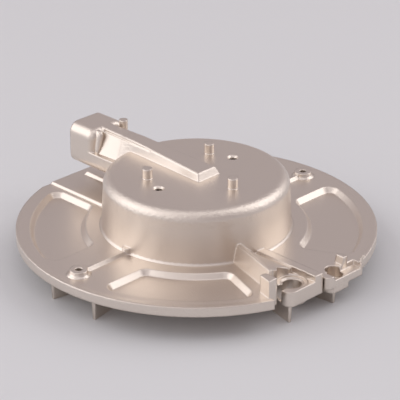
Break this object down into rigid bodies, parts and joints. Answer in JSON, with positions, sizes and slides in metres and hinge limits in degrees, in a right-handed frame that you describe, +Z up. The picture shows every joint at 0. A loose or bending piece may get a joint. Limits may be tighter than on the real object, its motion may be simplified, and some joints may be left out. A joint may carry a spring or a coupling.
{
  "type": "gas hob burner body",
  "caption": "Die-cast gas burner body: round pocketed flange, shallow drum with a duct ridge and side inlet block, and bosses for a spark electrode and a flame sensor.",
  "frame": {"origin": "midway between the fixing holes, on the drum axis, at the underside of the flange", "axes": "+Z up the drum axis with the drum up, +Y towards the inlet, fixing bosses on X, electrode bosses on -Y"},
  "size_m": [0.13, 0.1255, 0.0378],
  "materials": {
    "cast_aluminium": "satin as-cast"
  },
  "bodies": {
    "root": {"burner_body": "cast_aluminium"}
  },
  "joints": []
}
